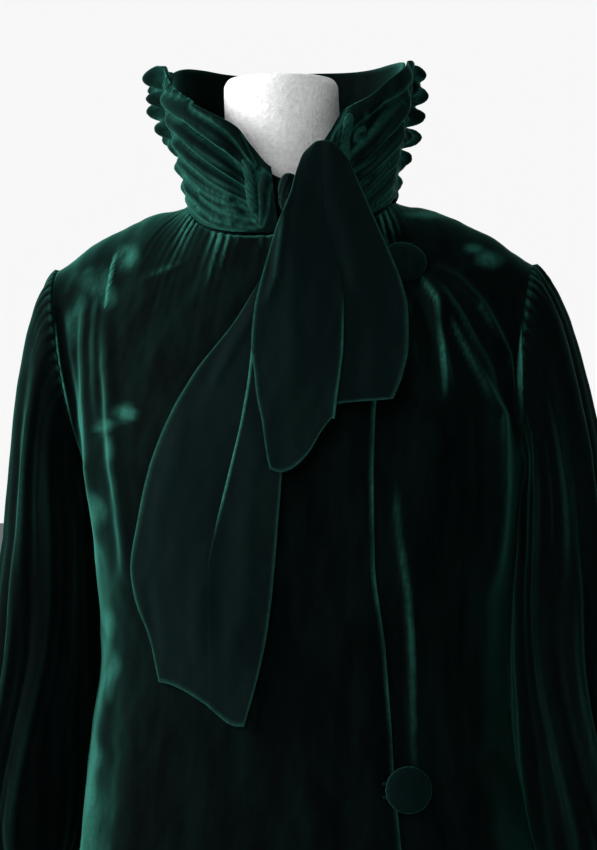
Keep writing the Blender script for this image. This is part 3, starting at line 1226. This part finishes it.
# Tie
def folded_path():
    """Places across a strip with one layer folded over: share to the fold, of the overlap, layer and bow."""
    half = TIE_COLUMNS // 2
    rows = [(i / half, 0.0, 1.0, 0.0) for i in range(half)]
    rows += [(1.0, 0.0, 0.75 + 0.25 * math.cos(t), math.sin(t)) for t in np.linspace(0.0, math.pi, 7)]
    rows += [(1.0, i / 6, 0.5, 0.0) for i in range(1, 6)]
    rows += [(1.0, 1.0, 0.25 + 0.25 * math.cos(t), -math.sin(t)) for t in np.linspace(0.0, math.pi, 7)]
    rows += [(1.0 + i / half, 1.0, 0.0, 0.0) for i in range(1, half + 1)]
    return np.array(rows)


def strip_grid(table, path, rows, bottoms, top, side, strength_of):
    """Grid of a tie end: x, z and layer for each row down and each place on the folded path across."""
    share = np.linspace(0.0, 1.0, rows)[:, None]
    z = top + (bottoms[None] - top) * share
    first, fold, last = (read(table, z, i) for i in ((1, 2, 3) if side < 0 else (3, 2, 1)))
    strength = strength_of(z)
    to_fold, over, layer, bow = path.T
    reach = OVERLAP * strength
    sign = 1.0 if side < 0 else -1.0
    turn = 0.25 * LAYERED * strength
    before = first + (fold - sign * turn - first) * np.minimum(to_fold, 1.0)
    after_start = fold - sign * reach
    after = after_start + (last - after_start) * np.maximum(to_fold - 1.0, 0.0)
    x = np.where(to_fold > 1.0, after, before - sign * (reach - 2 * turn) * over)
    x = x + sign * turn * bow
    return x, z, layer * strength


def finish_strip(name, x, y, z, turn, creases, fold_shows, seed):
    """The tie's end with its creases. fold_shows says where the folded edge is worn light."""
    y = y - folds_at(creases, x, z) - TIE_RIPPLE * ripple(x, z, seed)
    grid = stacked(x, y, z)
    rows, columns = x.shape
    column = np.arange(columns)[None]
    sides = bump(column, 0.9) + bump(column - columns + 1, 0.9)
    outline = HEM_WORN * np.clip(sides + bump(np.arange(rows)[::-1][:, None], 0.9), 0.0, 1.0)
    grid[..., 1] -= HEM_ROLL * outline
    normals = grid_normals(grid, False, -turn)
    bent = crest_of(grid, normals)
    folded = bump(column - columns * 0.5, columns * 0.16) > 0.3
    ridges = np.maximum(np.where(folded, bent * fold_shows, FLAT_WORN * bent), outline)
    make_cloth(name, grid, turn, TIE, thickness=TIE_CLOTH, crest=ridges)


def make_long_end():
    path = folded_path()
    across = np.clip(path[:, 0] / 2, 0.0, 1.0)
    bottoms = LONG_RIGHT_BOTTOM + (LONG_LEFT_BOTTOM - LONG_RIGHT_BOTTOM) * ease(across, 0.1, 1.0)

    def strength(z):
        return 0.04 + 0.96 * ease(z, 1.080, 1.120) * (1.0 - ease(z, 1.300, 1.340))

    x, z, layer = strip_grid(LONG_END, path, LONG_ROWS, bottoms, LONG_END[-1][0], 1, strength)
    y = chest_y(x, z) - read(LONG_END, z, 4) - 0.0006 - LAYERED * layer
    calm = ease(z, 1.100, 1.150) * (1.0 - ease(z, 1.255, 1.300))
    finish_strip("tie_long_end", x, y, z, 1, LONG_CREASES, calm, 21)


def make_short_end():
    path = folded_path()
    across = np.where(path[:, 0] <= 1.0, 0.46 * path[:, 0], 0.46 + 0.54 * (path[:, 0] - 1.0))
    bottoms = read(SHORT_BOTTOM, across, 1)

    def strength(z):
        return 0.04 + 0.96 * (1.0 - ease(z, 1.290, 1.345))

    x, z, layer = strip_grid(SHORT_END, path, SHORT_ROWS, bottoms, SHORT_END[-1][0], -1, strength)
    middle = (read(SHORT_END, z, 1) + read(SHORT_END, z, 3)) / 2
    bow = 0.7 * (chest_y(x, z) - chest_y(middle, z))
    y = np.minimum(read(SHORT_END, z, 4) + bow, chest_y(x, z) - TIE_CLEAR) - LAYERED * layer
    last_step = SHORT_TOP[-1][0]
    steps = np.linspace(0.0, last_step, SHORT_TOP_ROWS, endpoint=False)[:, None]
    share = (x[0] - x[0, 0]) / (x[0, -1] - x[0, 0])
    top_x = read(SHORT_TOP, steps, 2) + (read(SHORT_TOP, steps, 3) - read(SHORT_TOP, steps, 2)) * share[None]
    part = steps / last_step
    top_y = np.repeat(read(SHORT_TOP, steps, 4), len(share), 1) + (y[0] - y[0].mean())[None] * part
    top_y += 0.0015 * np.cos(2 * math.pi * 2.5 * share)[None] * (1.0 - part)
    top_z = np.repeat(read(SHORT_TOP, steps, 1), len(share), 1)
    top_z -= TOP_ROUND * np.abs(2.0 * share[None] - 0.9) ** 2.4 * np.sin(math.pi * part)
    x, y, z = (np.concatenate(pair) for pair in ((top_x, x), (top_y, y), (top_z, z)))
    calm = 1.0 - ease(z, 1.270, 1.320)
    finish_strip("tie_short_end", x, y, z, -1, SHORT_CREASES, calm, 23)


def make_knot():
    """The wrapped knot: a tall bean with the grooves of the turns round it."""
    rows, columns = 60, 90
    polar = np.linspace(0.02, math.pi - 0.02, rows)[:, None]
    turn = np.linspace(0.0, 2 * math.pi, columns, endpoint=False)[None]
    lean = polar + 0.35 * np.sin(turn)
    grooves = 1.0 - 0.12 * bump(np.sin(1.5 * lean + 0.8), 0.16) - 0.05 * np.cos(5 * turn + 3 * polar) ** 2
    radius = np.sin(polar) ** 0.8 * grooves
    grid = stacked(
        KNOT_AT[0] + KNOT_HALF[0] * radius * np.cos(turn),
        KNOT_AT[1] + KNOT_HALF[1] * radius * np.sin(turn),
        KNOT_AT[2] + KNOT_HALF[2] * np.cos(polar) * np.ones(turn.shape),
    )
    knot = make_piece("tie_knot", grid, tube_faces(rows, columns, 1), TIE)


# Buttons
def button_frame(at):
    place, _ = chest_place(np.array(at[0]), np.array(at[1]))
    _, normal = chest_place(np.array(at[0] - BUTTON_LEAN), np.array(at[1]))
    level = np.cross((0.0, 0.0, 1.0), normal)
    level /= np.linalg.norm(level)
    return place, normal, level, np.cross(normal, level)


def make_button(word, at):
    """Velvet drawn over a dome, with a soft rolled rim and faint drawn folds round it."""
    place, normal, level, up = button_frame(at)
    columns = 96
    turns = np.linspace(0.0, 2 * math.pi, columns, endpoint=False)
    profile = [(SHANK_HALF, 0.001), (SHANK_HALF, BUTTON_LIFT), (BUTTON_HALF * 0.90, BUTTON_LIFT)]
    profile += [
        (BUTTON_HALF * (0.955 + 0.045 * math.sin(t)), BUTTON_LIFT + 0.0016 * (1.0 - math.cos(t)))
        for t in np.linspace(0.3, math.pi * 0.72, 7)
    ]
    start = profile[-1]
    for t in np.linspace(0.0, math.pi / 2, 26)[1:]:
        lift = start[1] + (BUTTON_LIFT + BUTTON_DOME - start[1]) * math.sin(t)
        profile.append((max(start[0] * math.cos(t), 0.0002), lift))
    grid = []
    for radius, lift in profile:
        drawn = 1.0 + 0.010 * np.cos(22 * turns) * ease(radius, 0.6 * BUTTON_HALF, BUTTON_HALF)
        a, b = radius * drawn * np.cos(turns), radius * drawn * np.sin(turns)
        grid.append(place + normal * lift + level * a[:, None] + up * b[:, None])
    make_piece(f"button_{word}", grid, tube_faces(len(grid), columns, -1), DOME)


def make_loop(word, at):
    """Cord loop of twisted velvet, round the shank."""
    place, normal, level, up = button_frame(at)
    columns = 12
    half = SHANK_HALF + LOOP_SHANK_CLEAR + LOOP_HALF
    bend = np.linspace(math.pi / 2, -math.pi / 2, 25)
    leg = np.linspace(-LOOP_LEG, 0.0, 16, endpoint=False)
    a = np.concatenate((leg, half * np.cos(bend), leg[::-1]))
    b = np.concatenate((np.full(16, half), half * np.sin(bend), np.full(16, -half)))
    spots = place + level * a[:, None] + up * b[:, None]
    under, out = chest_place(spots[:, 0], spots[:, 2])
    raised = folds_at(FRONT_FOLDS, spots[:, 0], spots[:, 2])
    centres = under + out * (np.minimum(raised, LOOP_RISE) + LOOP_CLEAR + LOOP_HALF)[:, None]
    run = np.gradient(centres, axis=0)
    run /= np.linalg.norm(run, axis=1, keepdims=True)
    across = np.cross(run, normal)
    across /= np.linalg.norm(across, axis=1, keepdims=True)
    turns = np.linspace(0.0, 2 * math.pi, columns, endpoint=False)[None, :, None]
    tube = centres[:, None] + LOOP_HALF * (across[:, None] * np.cos(turns) + normal * np.sin(turns))
    make_piece(f"loop_{word}", tube, tube_faces(len(tube), columns, 1), DOME)


# Dress form
def make_form(material):
    columns, rows_between = 128, 5
    heights = [
        np.linspace(low[0], high[0], rows_between, endpoint=False)
        for low, high in zip(FORM_RINGS[:-1], FORM_RINGS[1:])
    ]
    z = np.concatenate(heights)[:, None]
    turn = np.linspace(0.0, 2 * math.pi, columns, endpoint=False)[None]
    power = 2 / read(FORM_RINGS, z, 5)
    c, s = np.cos(turn), np.sin(turn)
    x = read(FORM_RINGS, z, 1) + read(FORM_RINGS, z, 3) * np.copysign(np.abs(c) ** power, c)
    y = read(FORM_RINGS, z, 2) + read(FORM_RINGS, z, 4) * np.copysign(np.abs(s) ** power, s)
    make_piece("form_body", stacked(x, y, z), tube_faces(len(z), columns, -1), material)


def make_turned(name, profile, material):
    """Smooth turned metal through rings of radius and height, closed at both ends."""
    columns = 128
    turns = np.linspace(0.0, 2 * math.pi, columns, endpoint=False)
    grid = np.array([stacked(r * np.cos(turns), r * np.sin(turns), z) for z, r in profile])
    item = make_piece(name, grid, tube_faces(len(grid), columns, -1), material)
    item.data.shade_flat()
    soft = item.modifiers.new("soft edges", "BEVEL")
    soft.width = 0.0008
    soft.segments = 3
    soft.limit_method = "ANGLE"


def make_stand_metal(material):
    """Pole with its flange under the form, and the round base: height and radius of each ring."""
    hub, foot, gap = 0.046, FORM_RINGS[0][0], 0.0003
    pole = [(hub + gap, 0.014), (foot - 0.012, 0.014), (foot - 0.008, 0.045), (foot - gap, 0.045)]
    base = [(0.0, 0.187), (0.003, 0.190), (0.012, 0.190), (0.016, 0.184)]
    base += [(0.019, 0.040), (0.028, 0.026), (hub, 0.022)]
    make_turned("form_pole", pole, material)
    make_turned("form_base", base, material)


# Studio
def make_lamp(name, place, aim_z, size, power):
    lamp = bpy.data.lights.new(name, "AREA")
    lamp.size = size
    lamp.energy = power
    item = bpy.data.objects.new(name, lamp)
    item.location = place
    item.rotation_mode = "QUATERNION"
    item.rotation_quaternion = (Vector((0.0, 0.0, aim_z)) - item.location).to_track_quat("-Z", "Y")
    bpy.context.scene.collection.objects.link(item)


def plain(name, colour, glow=None):
    made, _, shader = new_material(name)
    shader.inputs["Base Color"].default_value = colour
    shader.inputs["Roughness"].default_value = 0.9
    if glow:
        shader.inputs["Emission Color"].default_value = glow
        shader.inputs["Emission Strength"].default_value = 1.0
    return made


def make_studio():
    """Pale floor, and a pale surround that the camera sees and the cloth isn't lit by."""
    bpy.ops.mesh.primitive_circle_add(vertices=96, radius=34.0, fill_type="NGON")
    floor = bpy.context.object
    floor.name = "studio_floor"
    floor.data.materials.append(plain("floor_pale", (0.78, 0.78, 0.78, 1)))
    bpy.ops.mesh.primitive_uv_sphere_add(segments=64, ring_count=32, radius=33.0)
    surround = bpy.context.object
    surround.name = "studio_surround"
    surround.data.materials.append(plain("surround_pale", (0.0, 0.0, 0.0, 1), (0.93, 0.93, 0.93, 1)))
    surround.visible_diffuse = False
    surround.visible_glossy = False
    surround.visible_shadow = False
    for name, lamp in LAMPS.items():
        make_lamp(name, *lamp)
    world = bpy.data.worlds.new("studio")
    bpy.context.scene.world = world
    world.use_nodes = True
    sky = world.node_tree.nodes["Background"]
    sky.inputs["Color"].default_value = (0.9, 0.95, 1.0, 1.0)
    sky.inputs["Strength"].default_value = 0.22
    bpy.context.scene.view_settings.view_transform = "Standard"


def make_camera():
    lens = bpy.data.cameras.new("photo_camera")
    lens.lens = CAMERA_LENS
    lens.sensor_width = 36.0
    lens.clip_end = 100.0
    item = bpy.data.objects.new("photo_camera", lens)
    turn = math.radians(CAMERA_TURN)
    item.location = (CAMERA_AWAY * math.sin(turn), -CAMERA_AWAY * math.cos(turn), CAMERA_Z)
    item.rotation_euler = (math.pi / 2, 0.0, turn)
    bpy.context.scene.collection.objects.link(item)
    bpy.context.scene.camera = item


make_camera()
make_studio()
make_body()
for word, side in (("right", -1), ("left", 1)):
    make_sleeve(word, side)
    make_cuff(word, side)
make_stand()
make_swags()
make_rings()
make_knot()
make_long_end()
make_short_end()
for word, at in BUTTONS.items():
    make_button(word, at)
    make_loop(word, at)
make_form(jersey())
make_stand_metal(metal())
